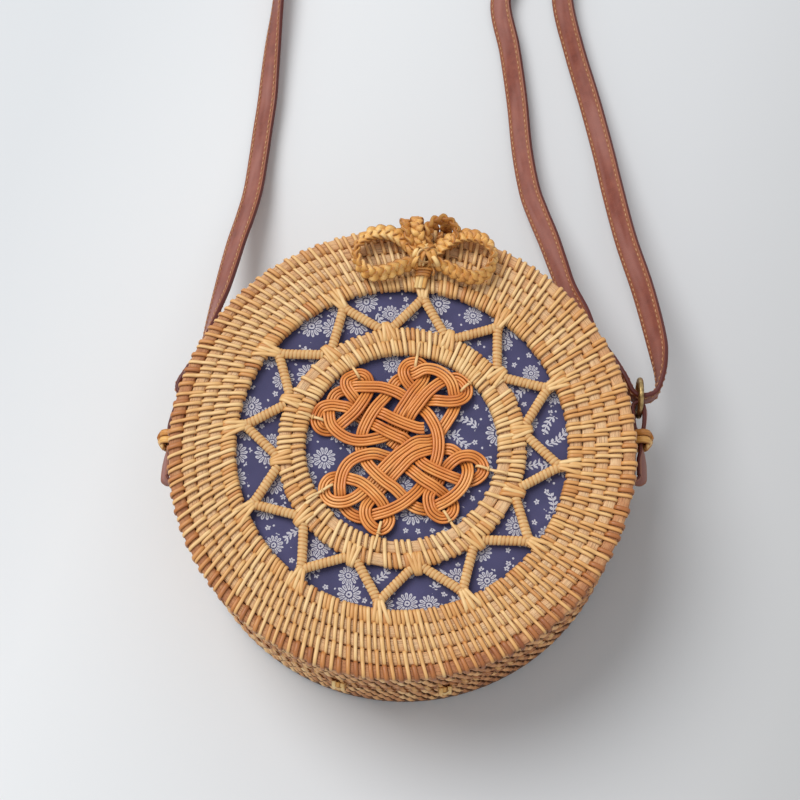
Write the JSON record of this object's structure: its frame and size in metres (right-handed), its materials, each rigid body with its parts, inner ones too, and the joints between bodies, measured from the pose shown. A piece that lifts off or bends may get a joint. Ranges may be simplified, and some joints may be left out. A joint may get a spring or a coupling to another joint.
{
  "type": "rattan crossbody bag",
  "caption": "Round rigid woven bag with a hinged openwork lid, a cord-and-bow closure, side rings and a leather shoulder strap; carries small things.",
  "frame": {"origin": "centre of the back panel's flat outer face", "axes": "+Z out of the lid's face, +Y towards the bow and closure, -Y towards the hinge, +X to the side with the doubled strap"},
  "size_m": [0.2279, 0.5153, 0.0875],
  "materials": {
    "rattan_pale": "satin, bound rattan rods",
    "rattan_wall": "matt, close weave",
    "knot_cane": "satin, lacquered cane",
    "straw_braid": "matt, flat braid",
    "cotton_print": "plain weave cotton with small pale flowers",
    "strap_leather": "waxed, worn, stitched edges",
    "old_brass": "brushed, aged"
  },
  "bodies": {
    "back_half": {"back_panel": "rattan_wall", "body_wall": "rattan_wall", "body_rim": "rattan_pale", "body_lining": "cotton_print", "hinge_tie_left": "straw_braid", "hinge_tie_right": "straw_braid", "side_loop_left": "straw_braid", "side_loop_right": "straw_braid", "tab_left": "strap_leather", "tab_right": "strap_leather", "clasp_tether": "straw_braid", "strap": "strap_leather", "strap_keeper": "strap_leather"},
    "lid": {"border_hoop_1": "rattan_pale", "border_hoop_2": "rattan_pale", "border_hoop_3": "rattan_pale", "border_hoop_4": "rattan_pale", "border_hoop_5": "rattan_pale", "ring_hoop_outer": "rattan_pale", "ring_hoop_inner": "rattan_pale", "star_point_01": "rattan_pale", "star_point_02": "rattan_pale", "star_point_03": "rattan_pale", "star_point_04": "rattan_pale", "star_point_05": "rattan_pale", "star_point_06": "rattan_pale", "star_point_07": "rattan_pale", "star_point_08": "rattan_pale", "star_point_09": "rattan_pale", "star_point_10": "rattan_pale", "star_point_11": "rattan_pale", "star_point_12": "rattan_pale", "knot_band_open": "knot_cane", "knot_band_closed": "knot_cane", "knot_tie_1": "knot_cane", "knot_tie_2": "knot_cane", "knot_tie_3": "knot_cane", "knot_tie_4": "knot_cane", "knot_tie_5": "knot_cane", "knot_tie_6": "knot_cane", "knot_tie_7": "knot_cane", "knot_tie_8": "knot_cane", "lid_wall": "rattan_wall", "lid_rim": "rattan_pale", "lid_lining": "cotton_print", "bow_knot": "straw_braid", "bow_loop_left": "straw_braid", "bow_loop_right": "straw_braid", "bow_tail": "straw_braid"},
    "ring_left": {"ring_left": "old_brass"},
    "ring_right": {"ring_right": "old_brass"},
    "clasp": {"clasp_loop": "straw_braid"}
  },
  "joints": [
    {"name": "lid_hinge", "type": "hinge", "parent": "back_half", "child": "lid", "pos_m": [0, -0.1005, 0.041], "axis": [1, 0, 0], "range_deg": [0, 135], "deforming": ["clasp_loop"]},
    {"name": "clasp_lift", "type": "hinge", "parent": "back_half", "child": "clasp", "pos_m": [0, 0.1015, 0.08], "axis": [-1, 0, 0], "range_deg": [0, 150]},
    {"name": "ring_left_turn", "type": "hinge", "parent": "back_half", "child": "ring_left", "pos_m": [-0.10154, 0.02802, 0.04], "axis": [0.9781, -0.2079, 0], "continuous": true},
    {"name": "ring_right_turn", "type": "hinge", "parent": "back_half", "child": "ring_right", "pos_m": [0.1052, 0.0379, 0.04], "axis": [1, 0, 0], "continuous": true}
  ]
}
